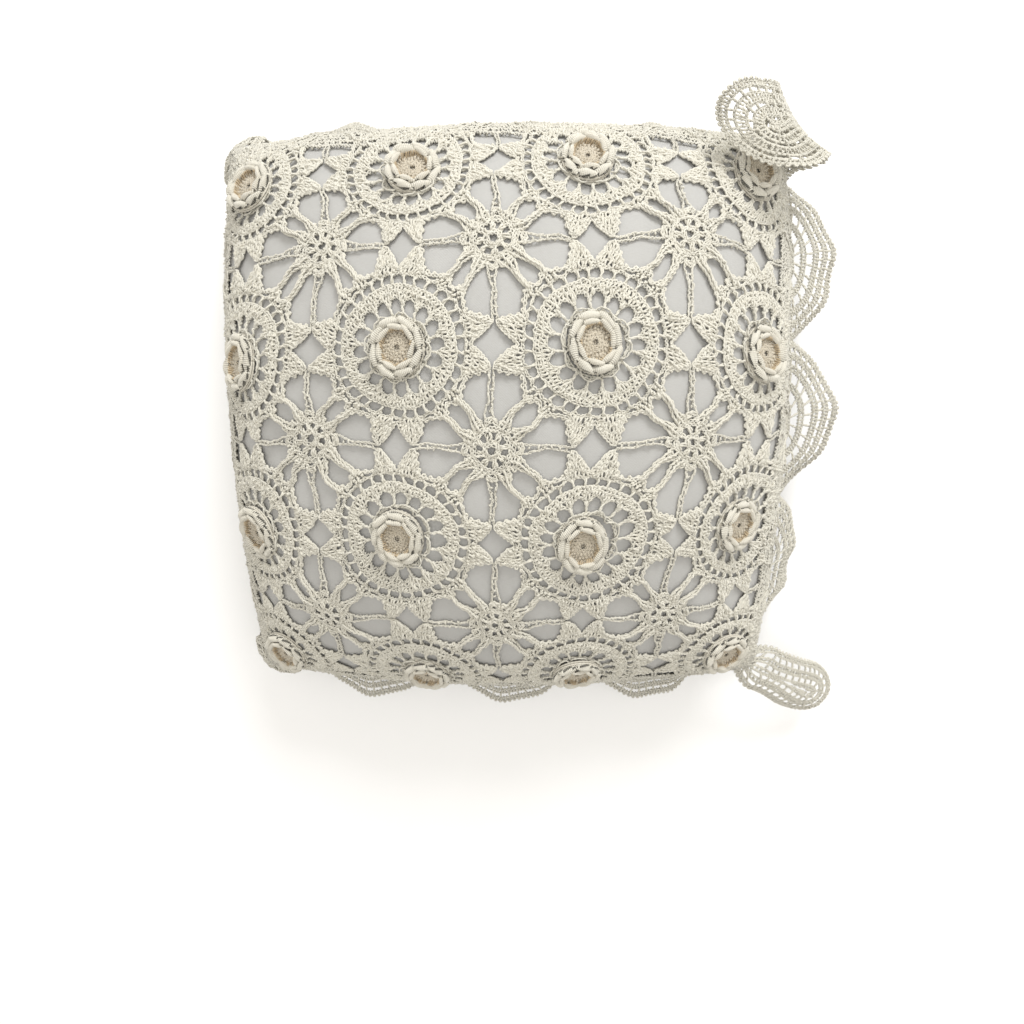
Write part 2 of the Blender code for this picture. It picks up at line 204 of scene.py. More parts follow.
# ---- Strands ----
class Strands:
    """Collects strands of thread as tubes and makes one mesh of them.

    lay maps flat points to metres; the painted shade value, from 0 to 1, is how much warm tan, standing
    in for shade, the next strands get.
    """

    def __init__(self, lay, seed, sides=4):
        self.lay = lay
        self.sides = sides
        self.painted_shade = 0.0
        self.rng = np.random.default_rng(seed)
        self.points, self.quads, self.caps, self.uvs, self.painted_shades = [], [], [], [], []
        self.count = 0

    def tubes(self, paths, radius=STRAND):
        """Adds strands of one thickness; paths is (strands, points, 3)."""
        sides = self.sides
        paths = np.asarray(paths, float)
        places, up = self.lay(paths)
        n, m, _ = places.shape
        along = unit(np.gradient(places, axis=1))
        side = unit(np.cross(along, up))
        over = np.cross(side, along)
        turn = 2 * np.pi * (np.arange(sides) + 0.5) / sides
        radii = np.broadcast_to(np.asarray(radius, float) / 1000, (n, m)).copy()
        ring = (side[:, :, None] * np.cos(turn)[:, None] + over[:, :, None] * np.sin(turn)[:, None])
        verts = places[:, :, None] + ring * radii[:, :, None, None]
        base = self.count + np.arange(n)[:, None, None] * m * sides
        j = np.arange(m - 1)[None, :, None] * sides
        k = np.arange(sides)[None, None, :]
        k2 = (k + 1) % sides
        quads = np.stack([base + j + k, base + j + k2, base + j + sides + k2, base + j + sides + k], -1)
        self.points.append(verts.reshape(-1, 3))
        # Painted shade of each point, kept for the material
        self.painted_shades.append(np.full(n * m * sides, self.painted_shade))
        self.quads.append(quads.reshape(-1, 4))
        ends = base[:, 0] + np.arange(sides)
        self.caps.append(ends[:, ::-1])
        self.caps.append(ends + (m - 1) * sides)
        length = np.concatenate([np.zeros((n, 1)), np.cumsum(
            np.linalg.norm(np.diff(places, axis=1), axis=-1), axis=1)], axis=1) * 1000
        a, b = length[:, :-1, None], length[:, 1:, None]
        left, right = k / sides + 0 * a, (k + 1) / sides + 0 * a
        low, high = a + 0 * left, b + 0 * left
        # Once round the strand and millimetres along it
        uv = np.stack([np.stack([left, low], -1), np.stack([right, low], -1),
                       np.stack([right, high], -1), np.stack([left, high], -1)], axis=-2)
        self.uvs.append(uv.reshape(-1, 2))
        self.count += n * m * sides

    # Stitches, on flat lines of shape (lines, points, 2); a chain's is (points, 2)
    def legs(self, line, height, side_offset, up_offset, radius=STRAND):
        """Two strands beside a line; the offsets are (points,) waves that give the stitch's look."""
        line = np.asarray(line, float)
        along = unit(np.gradient(line, axis=1))
        across = np.stack([-along[..., 1], along[..., 0]], -1)
        height = np.broadcast_to(height, line.shape[:2])
        for sign in (1, -1):
            flat = line + sign * across * np.asarray(side_offset)[..., None]
            tall = height + sign * np.asarray(up_offset)
            self.tubes(np.concatenate([flat, tall[..., None]], -1), radius)

    def twist(self, line, height=LACE_HEIGHT, turns=1.0, gap=0.3, radius=STRAND, phase=0.0):
        """A post: two strands wound round each other."""
        line = np.asarray(line, float)
        t = np.linspace(0, 1, line.shape[1])
        angle = phase + np.pi * turns * t
        swell = 0.35 * np.sin(np.pi * t)
        self.legs(line, height + swell, gap * np.cos(angle), gap * np.sin(angle), radius)

    def chain(self, line, height=LACE_HEIGHT, gap=LEG_GAP, stitch=STITCH, radius=STRAND):
        """A row of chain stitches along one line: two legs that part and meet once a stitch."""
        points = even(line, stitch / 2)
        s = np.arange(len(points)) / 2
        part = gap * (0.35 + 0.75 * np.abs(np.sin(np.pi * s)))
        lean = 0.22 * np.cos(2 * np.pi * s)
        self.legs(points[None], height + 0.18 * np.cos(2 * np.pi * s), part, lean, radius)

    def posts(self, feet, heads, height=LACE_HEIGHT, steps=6, turns=1.5, gap=0.33, radius=STRAND):
        """One post from each foot to its head, both flat points."""
        t = np.linspace(0, 1, steps)[None, :, None]
        feet = feet + self.rng.normal(0, UNEVEN, feet.shape)
        heads = heads + self.rng.normal(0, UNEVEN, heads.shape)
        line = feet[:, None] * (1 - t) + heads[:, None] * t
        lift = self.rng.normal(0, UNEVEN, (len(feet), 1))
        self.twist(line, height + lift, turns, gap, radius)

    def picots(self, bases, directions, size=0.9, height=LACE_HEIGHT):
        """Little loops that stand out from an edge."""
        t = np.linspace(-0.15, 1.15, 6)
        angle = np.pi * (0.5 - t) * 1.15
        out = size * (0.75 + 0.85 * np.cos(angle))
        over = size * np.sin(angle)
        across = np.stack([-directions[:, 1], directions[:, 0]], -1)
        line = (bases[:, None] + directions[:, None] * out[None, :, None]
                + across[:, None] * over[None, :, None])
        lift = height + self.rng.normal(0, 0.1, (len(bases), 1)) + 0 * t
        self.tubes(np.concatenate([line, lift[..., None]], -1), STRAND * 1.1)

    def mesh(self, name):
        verts = np.concatenate(self.points)
        quads = np.concatenate(self.quads)
        cap_faces = [row for block in self.caps for row in block]
        made = bpy.data.meshes.new(name)
        made.vertices.add(len(verts))
        made.vertices.foreach_set("co", verts.ravel())
        loops = np.concatenate([quads.ravel(), np.concatenate(cap_faces)])
        sizes = np.concatenate([np.full(len(quads), 4), [len(c) for c in cap_faces]])
        made.loops.add(len(loops))
        made.loops.foreach_set("vertex_index", loops)
        made.polygons.add(len(sizes))
        made.polygons.foreach_set("loop_start", np.concatenate([[0], np.cumsum(sizes)[:-1]]))
        made.polygons.foreach_set("loop_total", sizes)
        made.polygons.foreach_set("use_smooth", np.ones(len(sizes), bool))
        uv = np.concatenate(self.uvs + [np.zeros((len(loops) - quads.size, 2))])
        made.uv_layers.new(name="thread").data.foreach_set("uv", uv.ravel())
        # Per-point painted shade, which the thread material turns into a warm tan
        painted_shades = made.attributes.new("painted_shade", "FLOAT", "POINT")
        painted_shades.data.foreach_set("value", np.concatenate(self.painted_shades))
        made.update(calc_edges=True)
        return made


def length_along(line):
    """Length from the line's start to each of its points."""
    return np.concatenate([[0], np.cumsum(np.linalg.norm(np.diff(line, axis=0), axis=-1))])


def sampled(line, at, known):
    """Points of the line where known, its own measure, reaches at."""
    return np.stack([np.interp(at, known, line[:, i]) for i in range(line.shape[1])], -1)


def even(line, step):
    """The line again with points a step apart, in an even number of steps."""
    length = length_along(line)
    count = max(int(round(length[-1] / step / 2)) * 2, 2)
    return sampled(line, np.linspace(0, length[-1], count + 1), length)


def polar(radius, angle):
    radius, angle = np.broadcast_arrays(radius, angle)
    return np.stack([radius * np.cos(angle), radius * np.sin(angle)], -1)


def spread(line, spacing):
    """Where points a spacing apart come along a line, counted in the line's own points."""
    length = length_along(line)
    count = int(round(length[-1] / spacing))
    at = (np.arange(count) + 0.5) / count * length[-1]
    return np.interp(at, length, np.arange(len(line)))


# ---- Rose motif ----
def outline_radius(angle):
    folded = np.degrees(np.abs((angle + np.pi / 4) % (np.pi / 2) - np.pi / 4))
    points = np.array(OUTLINE)
    return np.interp(folded, points[:, 0], points[:, 1])


def hole_foot(angle):
    return np.minimum(BAND_TOP, outline_radius(angle) - 5.6)


def hole_top(angle):
    return np.minimum(HOLE_TOP, outline_radius(angle) - 1.2)


def arch_edge(angle):
    """Outer side of the sixteen arches round the rose."""
    share = (angle / (2 * np.pi) * ARCH_COUNT) % 1
    return ARCH_SPRING + (ARCH_TOP - ARCH_SPRING) * np.abs(np.sin(np.pi * share)) ** 0.6


def motif_stitches(s, centre):
    """All the stitches of one motif round flat centre."""
    centre = np.asarray(centre, float)
    turn = s.rng.uniform(0, 2 * np.pi / ARCH_COUNT)

    def ring_point(radius, angle):
        return centre + polar(radius, angle)

    # Foundation ring and loops behind the rose
    s.chain(ring_point(ARCH_FOOT, np.linspace(0, 2 * np.pi, 121)))
    for i in range(LOOP_COUNT):
        angle = turn + (i + np.linspace(0.04, 0.96, 9)) * 2 * np.pi / LOOP_COUNT
        bow = 11.2 + 2.9 * np.sin(np.linspace(0, np.pi, 9)) ** 0.5
        s.twist(ring_point(bow, angle)[None], LACE_HEIGHT + 0.9, turns=6, gap=0.25, radius=0.3)

    # Sixteen arches
    slot = 2 * np.pi / ARCH_COUNT
    starts = turn + np.arange(ARCH_COUNT) * slot
    feet = ring_point(ARCH_FOOT + 0.4, starts + s.rng.normal(0, 0.015, ARCH_COUNT))
    s.posts(feet, ring_point(ARCH_SPRING + 0.8, starts), steps=6, turns=2, gap=0.28)
    share = np.linspace(0, 1, 15)
    for start in starts:
        angle = start + share * slot
        s.chain(ring_point(arch_edge(angle - turn) + 0.1, angle), height=LACE_HEIGHT + 0.2)

    # Dense band over the arches
    angle = turn + (np.arange(BAND_POSTS) + 0.5) * 2 * np.pi / BAND_POSTS
    middle = (arch_edge(angle - turn) + hole_foot(angle)) / 2 + 0.35
    s.posts(ring_point(arch_edge(angle - turn) + 0.5, angle), ring_point(middle, angle), turns=1.2)
    s.posts(ring_point(middle, angle + 0.01), ring_point(hole_foot(angle) - 0.2, angle + 0.02), turns=1.2)
    whole = np.linspace(0, 2 * np.pi, 181)
    ridge = arch_edge(whole - turn) * 0.35 + hole_foot(whole) * 0.65 - 0.4
    s.chain(ring_point(ridge, whole), height=LACE_HEIGHT + 0.35)
    s.chain(ring_point(hole_foot(whole), whole), height=LACE_HEIGHT + 0.25)

    # Ring of small holes
    slot = 2 * np.pi / HOLE_COUNT
    starts = (np.arange(HOLE_COUNT) + 0.5) * slot
    s.posts(ring_point(hole_foot(starts) + 0.3, starts), ring_point(hole_top(starts) - 0.6, starts),
            steps=4, gap=0.42, turns=1)
    share = np.linspace(0, 1, 9)
    for start in starts:
        angle = start + share * slot
        dip = 1.1 * (1 - np.sin(np.pi * share) ** 0.6)
        s.chain(ring_point(hole_top(angle) - dip, angle))

    # Rows out to the outline; they are only as deep as it is far
    fine = np.linspace(0, 2 * np.pi, 721)
    depth = outline_radius(fine) - 0.7 - hole_top(fine)
    for row in range(OUTER_ROWS):
        inner = hole_top(fine) + depth * row / OUTER_ROWS
        outer = hole_top(fine) + depth * (row + 1) / OUTER_ROWS
        at = spread(ring_point(outer, fine), 1.9)
        angle = np.interp(at, np.arange(len(fine)), fine)
        low, high = np.interp(angle, fine, inner), np.interp(angle, fine, outer)
        deep = (high - low) > 0.9
        s.posts(ring_point(low, angle)[deep], ring_point(high, angle)[deep], steps=5, turns=1.2)
        if row < OUTER_ROWS - 1:
            for start in np.arange(4) * np.pi / 2:
                for lean in (-1, 1):
                    tip = start + lean * math.radians(OUTLINE[1][0]) + np.linspace(-0.14, 0.14, 15)
                    s.chain(ring_point(np.interp(tip % (2 * np.pi), fine, outer), tip),
                            height=LACE_HEIGHT + 0.2)
    edge = ring_point(outline_radius(fine) - 0.5, fine)
    s.chain(edge, height=LACE_HEIGHT + 0.25, gap=0.45)
    at = spread(edge, 3.4)
    angle = np.interp(at, np.arange(len(fine)), fine)
    base = ring_point(outline_radius(angle) - 0.3, angle)
    ahead = unit(ring_point(outline_radius(angle + 0.01), angle + 0.01)
                 - ring_point(outline_radius(angle - 0.01), angle - 0.01))
    out = np.stack([ahead[:, 1], -ahead[:, 0]], -1)
    # No picots on the joining tips
    free = np.abs((angle + np.pi / 4) % (np.pi / 2) - np.pi / 4) > math.radians(13)
    s.picots(base[free], out[free], size=0.62)


# ---- Star ----
def star_stitches(s, centre, low=-1.0, high=2 * np.pi + 1):
    """Twelve-spoked star round flat centre; low and high limit the angles of a half star."""
    centre = np.asarray(centre, float)

    def ring_point(radius, angle):
        return centre + polar(radius, angle)

    whole = high - low > 2 * np.pi
    sweep = np.linspace(0, 2 * np.pi, 61) if whole else np.linspace(low, high, 41)

    def kept(angles):
        return angles if whole else angles[(angles > low) & (angles < high)]

    s.chain(ring_point(STAR_HOLE, sweep), height=LACE_HEIGHT + 0.5, gap=0.42)
    s.chain(ring_point(STAR_HOLE + 1.1, sweep), height=LACE_HEIGHT + 0.2)
    eyelets = np.arange(STAR_EYELETS) * 2 * np.pi / STAR_EYELETS + 0.2
    for beside in (-0.1, 0.1):
        posts = kept(eyelets + beside)
        s.posts(ring_point(STAR_HOLE + 1.3, posts), ring_point(STAR_RING - 0.5, posts), steps=5, gap=0.42)
    s.chain(ring_point(STAR_RING, sweep), height=LACE_HEIGHT + 0.25, gap=0.5)
    s.chain(ring_point(STAR_RING + 1.3, sweep), height=LACE_HEIGHT + 0.1, gap=0.5)

    step = math.radians(SPOKE_STEP)
    spokes = np.arange(12) * step if whole else kept(np.arange(24) * step)
    share = np.linspace(0, 1, 18)
    for angle in spokes:
        nth = int(round(angle / step))
        on_axis = nth % 3 == 0
        reach = AXIS_REACH if on_axis else DIAGONAL_REACH
        # A diagonal spoke ends on the motif's corner, which is a little nearer to the diagonal
        turn = 0.0 if on_axis else math.radians(SPOKE_TURN) * (1 if nth % 3 == 1 else -1)
        bend = s.rng.normal(0, 0.6)
        wobble = s.rng.uniform(0, 6)
        leans = (-1, 1) if on_axis else (-1, 0, 1)
        for lean in leans:
            foot = lean * math.radians(9) * np.clip(1 - share * 2.2, 0, 1) ** 1.2
            radius = STAR_RING + 1.0 + (reach - STAR_RING - 1.0) * share
            wide = 0.85 if on_axis else 0.95 - 0.2 * share
            side = bend * np.sin(np.pi * share) + lean * wide + 0.35 * np.sin(9 * share + wobble)
            line = ring_point(radius, angle + foot + turn * share ** 1.5)
            line = line + side[:, None] * np.array([-math.sin(angle), math.cos(angle)])
            lift = LACE_HEIGHT + (0.7 if lean == 0 else 0)
            if on_axis:
                s.chain(line, lift, gap=0.28, stitch=1.5, radius=0.36)
            else:
                s.twist(line[None], lift, turns=9, gap=0.34, radius=0.44, phase=wobble + lean)
        if on_axis:
            along = np.linspace(STAR_HUB, reach - 2, SPOKE_BARS)
            left = ring_point(along, angle - 0.8 / along)
            right = ring_point(along, angle + 0.8 / along)
            s.posts(left, right, height=LACE_HEIGHT - 0.2, steps=3, gap=0.3, radius=0.34)
        # Stitches that fill the foot of the spoke
        for radius in (STAR_RING + 2.6, STAR_RING + 4.0):
            bow = angle + np.linspace(-1, 1, 7) * math.radians(12.5)
            sag = radius + 1.0 * np.cos(np.linspace(-1, 1, 7) * np.pi / 2)
            s.chain(ring_point(sag, bow), height=LACE_HEIGHT + 0.15, gap=0.5)


# ---- Rose ----
ROSE_COILS = ((0.7, 1.2), (1.8, 2.5), (3.1, 2.4), (4.4, 2.0), (5.6, 1.7), (6.6, 1.6))   # radius, height
ROSE_POSTS = ((1.8, 3.1, 8), (3.1, 4.4, 14), (4.4, 5.6, 20), (5.6, 6.8, 26))    # from, to, how many
ROSE_HOLDS = ((8.6, 1.4), (9.8, 0.9), (10.9, 0.7), (10.9, 1.7))    # radius, height
WALL_STITCHES = 40
# Inner and outer petals: painted shade, how many, turn, radius and height of their middles, length with
# its least and greatest share, and then half width, half height, tilt and skew
PETAL_RINGS = ((0.06, 7, 0.0, (7.4, 3.7), (7.3, 0.95, 1.05), (0.95, 1.8, 0.1, 0.8)),
               (0.0, 8, 0.4, (9.8, 2.8), (8.9, 0.97, 1.05), (1.55, 2.0, 0.2, 1.1)))
PETAL_WIND = 0.74    # of thread along a petal in one turn round it
PETAL_STRAND = 0.48


def lay_on_rose(u, v, seed):
    """Map of a rose: points about its middle, in its own plane square to the cushion."""
    rng = np.random.default_rng(seed)
    squeeze = rng.uniform(0.9, 0.98)
    lean_u, lean_v = rng.normal(0, 0.06, 2)
    middle, up = lay_on_front(np.array([[u, v, 0.6]]))
    moved = pulled(np.array([u, v, 0.0]))
    u, v = u + moved[0], v + moved[1]
    ahead = cushion(np.array([u]), np.array([v + 5.0])) - cushion(np.array([u]), np.array([v - 5.0]))
    side = unit(np.cross(ahead, up))
    ahead = np.cross(up, side)

    def lay(points):
        x, y, z = points[..., :1] * squeeze, points[..., 1:2] / squeeze, points[..., 2:]
        z = z + lean_u * x + lean_v * y
        place = (middle * 1000 + x * side + y * ahead + z * up)
        return place / 1000, np.broadcast_to(up, points.shape)

    return lay


def pad(s, middle, angle, length, half_width, half_height, tilt, skew):
    """A petal: a fat roll of thread wound round and round, square to its radius."""
    turns = length / PETAL_WIND
    count = int(turns * 8)
    t = np.linspace(0, 1, count)
    wind = 2 * np.pi * turns * t
    full = np.sin(np.pi * (0.03 + 0.94 * t)) ** 0.5
    bulge = 1 + 0.06 * np.sin(7 * t + angle)
    out = half_width * full * np.cos(wind) * bulge
    up = half_height * full * np.sin(wind) * bulge
    radial = middle[0] + out * math.cos(tilt) + up * math.sin(tilt) + skew * (t - 0.5)
    radial = radial - 0.35 * ((t - 0.5) * 2) ** 2
    height = middle[1] + up * math.cos(tilt) - out * math.sin(tilt) + 0.7 * skew * (t - 0.5)
    along = (t - 0.5) * length
    flat = np.stack([radial * math.cos(angle) - along * math.sin(angle),
                     radial * math.sin(angle) + along * math.cos(angle), height], -1)
    s.tubes(flat[None], PETAL_STRAND)


def rose_stitches(s, seed):
    """All the stitches of one rose, from its coiled middle out."""
    rng = np.random.default_rng(seed)
    whole = np.linspace(0, 2 * np.pi, 61)
    # The coiled middle and its posts, the cup's floor, get painted shade: a warm tan for the shade in the
    # cup
    s.painted_shade = 0.42
    for radius, height in ROSE_COILS:
        s.chain(polar(radius, whole + radius), height=height, gap=0.44)
    for low, high, count in ROSE_POSTS:
        angle = np.arange(count) * 2 * np.pi / count + rng.uniform(0, 1)
        s.posts(polar(low, angle), polar(high, angle), height=2.0, steps=3, gap=0.4)
    # Wall of the cup, in standing stitches, with heavy painted shade for the shade inside the cup
    s.painted_shade = 0.9
    climb = np.linspace(0, 1, 6)
    for angle in np.arange(WALL_STITCHES) * 2 * np.pi / WALL_STITCHES:
        reach = 6.2 + 0.6 * climb + 0.15 * rng.normal()
        line = polar(reach, angle + 0.05 * np.sin(5 * climb))
        s.tubes(np.concatenate([line, (1.4 + 3.2 * climb)[:, None]], -1)[None], 0.52)
    start = rng.uniform(0, 2 * np.pi)
    for painted_shade, count, turn, (radius, height), (length, least, greatest), form in PETAL_RINGS:
        # Each ring of petals has its own painted shade, slight on the inner ring and none on the outer
        s.painted_shade = painted_shade
        for n in range(count):
            angle = start + turn + (n + rng.normal(0, 0.05)) * 2 * np.pi / count
            middle = (radius + rng.normal(0, 0.12), height + rng.normal(0, 0.15))
            pad(s, middle, angle, length * rng.uniform(least, greatest), *form)
    # Stitches that hold the petals to the ground, low under them, with a little painted shade
    s.painted_shade = 0.1
    for radius, height in ROSE_HOLDS:
        s.chain(polar(radius, whole), height=height, gap=0.5)


# ---- Edging ----
SIDES = ("right", "top", "left", "bottom")
SCALLOP_WIDE, SCALLOP_DEEP, BAND = 42.0, 36.0, 11.0
# Fall of each side's three scallops from level at the seam, in degrees
DROOP = {"right": (46, 24, 30), "top": (66, 70, 62), "left": (68, 72, 70), "bottom": (75, 74, 76)}
# How much steeper they get outward, in degrees to the millimetre
CURL = {"right": (0.4, 0.1, 0.2), "top": (0.2, 0.3, 0.2), "left": (0.2, 0.3, 0.2),
        "bottom": (-1.7, -1.65, -1.7)}
# Rows from the edge inward: kind, where it starts and where it ends
EDGE_ROWS = (("close", 0.8, 3.0), ("open", 3.0, 6.6), ("close", 6.6, 9.4), ("open", 9.4, 13.0),
             ("close", 13.0, 16.0), ("wide", 16.0, 22.0), ("close", 22.0, 24.6), ("wide", 24.6, 30.6),
             ("close", 30.6, 33.5))
FLAP_ROWS = (("close", 0.8, 3.2), ("open", 3.2, 6.0), ("close", 6.0, 10.2), ("open", 10.2, 12.9),
             ("close", 12.9, 16.4), ("open", 16.4, 19.2), ("close", 19.2, 21.0))
ROW_SPACING = {"close": 1.7, "open": 4.6, "wide": 5.8}
EDGE_STRAND = 0.42
SEAM_ROWS, SEAM_ROW_STEP, SEAM_POSTS = 3, 1.6, 38
# Rows on the front, by how far inside the seam they are, close ones and then the net's
BORDER_ROWS = (0.4, 1.9, 3.4, 4.9, 6.4, 9.4, 12.4, 15.4, 18.4, 21.4)
CLOSE_ROWS, CLOSE_POSTS, NET_POSTS = 5, 118, 74
# How much steeper the edging falls between two scallops, in degrees
VALLEY_FALL = {"right": 26.0, "top": 16.0, "left": 16.0, "bottom": 22.0}
FLOOR_GAP = 1.3
RUFFLE_WAVE = 4.1    # length of the small waves along the edging, over two pi


def turned(points, turns):
    """Points turned about the upright axis by quarter turns."""
    c, n = [(1, 0), (0, 1), (-1, 0), (0, -1)][turns % 4]
    x, y = points[..., 0], points[..., 1]
    return np.stack([c * x - n * y, n * x + c * y, points[..., 2]], -1)


def seam(along):
    """Point and outward direction on the right side's seam."""
    along = np.clip(along, -LACE_HALF + 0.5, LACE_HALF - 0.5)
    full = np.full(np.shape(along), LACE_HALF)
    point = cushion(full, along, height=LACE_HEIGHT)
    ahead = cushion(full, along + 0.4) - cushion(full, along - 0.4)
    outward = unit(np.stack([ahead[..., 1], -ahead[..., 0], 0 * along], -1))
    return point, outward


def above_floor(place):
    """Keeps lace that has come down to the floor lying on it."""
    sharpness, limit = 1.2, 30
    z = place[..., 2]
    over = np.clip((z - FLOOR_GAP) * sharpness, -limit, limit)
    lifted = FLOOR_GAP + np.log1p(np.exp(over)) / sharpness
    place[..., 2] = np.where(z > FLOOR_GAP + 8, z, lifted)
    return place


def with_between(three):
    """Three scallops' values at seven stations: ends, scallops and the valleys between them."""
    first, second, third = three
    return (first, first, (first + second) / 2, second, (second + third) / 2, third, third)


def lay_on_side(side):
    """Map of one side's edging: flat x is along the seam and y outward from it."""
    turns = SIDES.index(side)
    valley = PITCH / 2
    first_station = -3 * valley
    stations = np.arange(-3, 4) * valley
    falls, curls = with_between(DROOP[side]), with_between(CURL[side])

    def lay(points):
        s, w, height = points[..., 0], points[..., 1], points[..., 2]
        phase = (s - first_station) / valley
        eased = np.floor(phase) + (1 - np.cos(np.pi * (phase % 1))) / 2
        at = eased * valley + first_station
        between = np.clip(1 - np.abs((phase - 1) % 2 - 1), 0, 1)
        start = np.radians(np.interp(at, stations, falls) + VALLEY_FALL[side] * between ** 2.5)
        bend = np.radians(np.interp(at, stations, curls)) + 1e-4
        ruffle = 0.16 * np.sin(s / RUFFLE_WAVE + turns) * np.clip(w / 30, 0, 1)
        angle = start + ruffle + bend * w
        point, outward = seam(s)
        out = (np.sin(start + bend * w) - np.sin(start)) / bend
        down = (np.cos(start + bend * w) - np.cos(start)) / bend
        up = outward * np.sin(angle)[..., None]
        up[..., 2] += np.cos(angle)
        flutter = np.clip(w / SCALLOP_DEEP, 0, 1) ** 1.5
        lift = height - LACE_HEIGHT + 1.3 * np.sin(s / RUFFLE_WAVE + turns) * flutter
        place = point + outward * out[..., None] + up * lift[..., None]
        place[..., 2] += down
        return turned(above_floor(place), turns) / 1000, turned(up, turns)

    return lay


def pick(line, at):
    """Points of the line at the places that spread gives."""
    return sampled(line, at, np.arange(len(line)))


def edging_stitches(s, edge, inward, deepest, rows=EDGE_ROWS):
    """Rows of posts and chains that follow an edge; deepest is how far in each place may be worked."""
    for kind, near, far in rows:
        use = deepest > near + 1.0
        if use.sum() < 3:
            continue
        low = (edge + inward * near)[use]
        high = (edge + inward * np.minimum(far, deepest)[:, None])[use]
        at = spread((low + high) / 2, ROW_SPACING[kind])
        if kind == "close":
            middle = (low + high) / 2
            s.posts(pick(low, at), pick(middle, at), steps=4, turns=1.1, radius=EDGE_STRAND)
            s.posts(pick(middle, at), pick(high, at), steps=4, turns=1.1, radius=EDGE_STRAND)
        else:
            s.posts(pick(low, at), pick(high, at), steps=5, turns=2.2, gap=0.34, radius=EDGE_STRAND)
        deep = deepest > far
        ends = np.flatnonzero(deep)
        if len(ends) > 3:
            line = edge[ends[0]:ends[-1] + 1] + inward[ends[0]:ends[-1] + 1] * far
            s.chain(line, height=LACE_HEIGHT + 0.2, gap=0.42, radius=EDGE_STRAND)
    s.chain(edge + inward * 0.9, height=LACE_HEIGHT + 0.2, gap=0.46, radius=EDGE_STRAND)
    at = spread(edge, 2.7)
    s.picots(pick(edge + inward * 0.5, at), -pick(inward, at), size=0.62)
    s.picots(pick(edge + inward * 0.7, at), -pick(inward, at), size=0.3, height=LACE_HEIGHT + 0.4)


def scallop_stitches(s, middle):
    """One scallop and its length of seam, in the flat plane that lay_on_side takes."""
    first = math.atan2(BAND, SCALLOP_WIDE - 2) * 0.45
    angle = np.linspace(first, np.pi - first, 190)
    radius = 1 / np.hypot(np.cos(angle) / SCALLOP_WIDE, np.sin(angle) / SCALLOP_DEEP)
    edge = polar(radius, angle)
    edge[:, 0] = np.clip(edge[:, 0], -PITCH / 2 + 0.3, PITCH / 2 - 0.3)
    inward = -polar(1.0, angle)
    edging_stitches(s, edge + np.array([middle, 0]), inward, radius - 1.5)
    # Close rows along the seam
    along = middle + np.linspace(-PITCH / 2, PITCH / 2, 40)
    for row in range(SEAM_ROWS):
        line = np.stack([along, np.full(len(along), 0.4 + SEAM_ROW_STEP * row)], -1)
        s.chain(line, height=LACE_HEIGHT + 0.2, gap=0.5)
    at = middle + np.linspace(-PITCH / 2 + 1, PITCH / 2 - 1, SEAM_POSTS)
    s.posts(np.stack([at, 0 * at + 0.2], -1), np.stack([at, 0 * at + 4.4], -1), steps=4)


def header_stitches(s, turns):
    """Rows on the front beside the seam, that the edging hangs from."""
    def border(low, high, count, steps, post_turns):
        at = np.linspace(-LACE_HALF + high, LACE_HALF - high, count) + s.rng.normal(0, 0.3, count)
        foot = np.stack([np.full(count, LACE_HALF - low), at, 0 * at], -1)
        head = np.stack([np.full(count, LACE_HALF - high), at, 0 * at], -1)
        s.posts(turned(foot, turns)[:, :2], turned(head, turns)[:, :2], steps=steps, turns=post_turns)

    along = np.linspace(-LACE_HALF + 4, LACE_HALF - 4, 300)
    for row, inside in enumerate(BORDER_ROWS):
        rough = 0.25 * np.sin(along / 3.1 + row) + 0.22 * row * np.sin(along / 12.7)
        line = np.stack([LACE_HALF - inside + rough, along, 0 * along], -1)
        s.chain(turned(line, turns)[:, :2], height=LACE_HEIGHT + 0.3, gap=0.46)
    border(BORDER_ROWS[0], BORDER_ROWS[CLOSE_ROWS - 1], CLOSE_POSTS, 6, 3)
    for low, high in zip(BORDER_ROWS[CLOSE_ROWS - 1:], BORDER_ROWS[CLOSE_ROWS:]):
        border(low, high, NET_POSTS, 4, 1.5)


LOBE_LONG, LOBE_ROUND, LOBE_FOOT, LOBE_NECK = 62.0, 21.0, 38.0, 12.0
# Half outline of a lobe from its foot on the seam to where its round end begins
LOBE_SIDE = ((-38.0, 1.0), (-27.0, 4.0), (-19.0, 9.0), (-17.0, 16.0), (-18.0, 25.0), (-20.0, 34.0),
             (-21.0, 41.0))
# Middle lines of the lobes from the corner: outward, sideways, up; then the turn from the diagonal
LOBE_LINES = {
    "top_right": (((0, 0, 0), (4, -1, 7), (3, 0, 17), (-2, 2, 26), (-10, 5, 32), (-19, 10, 34),
                   (-28, 16, 32)), -5),
    "top_left": (((0, 0, 0), (6, 0, -12), (8, 0, -25), (4, 0, -36), (-6, 0, -42), (-20, 0, -42)), 0),
    "bottom_left": (((0, 0, 0), (9, 0, -12), (13, 0, -25), (9, 0, -36), (-2, 0, -42), (-16, 0, -42)), 0),
    "bottom_right": (((0, 0, 0), (10, 0, -3), (21, 0, -7), (36, 0, -13), (48, 0, -19), (59, 0, -27)), 14),
}
# Radius of each lobe's roll across its middle line, and its width against the outline's
LOBE_ROLL = {"top_right": 70.0, "top_left": 18.0, "bottom_left": 18.0, "bottom_right": 20.0}
LOBE_SLIM = {"top_right": 1.04, "top_left": 0.9, "bottom_left": 0.9, "bottom_right": 0.78}


def smooth(line, times):
    """Rounds a line off between its two ends, in place."""
    for _ in range(times):
        line[1:-1] = (line[:-2] + 2 * line[1:-1] + line[2:]) / 4


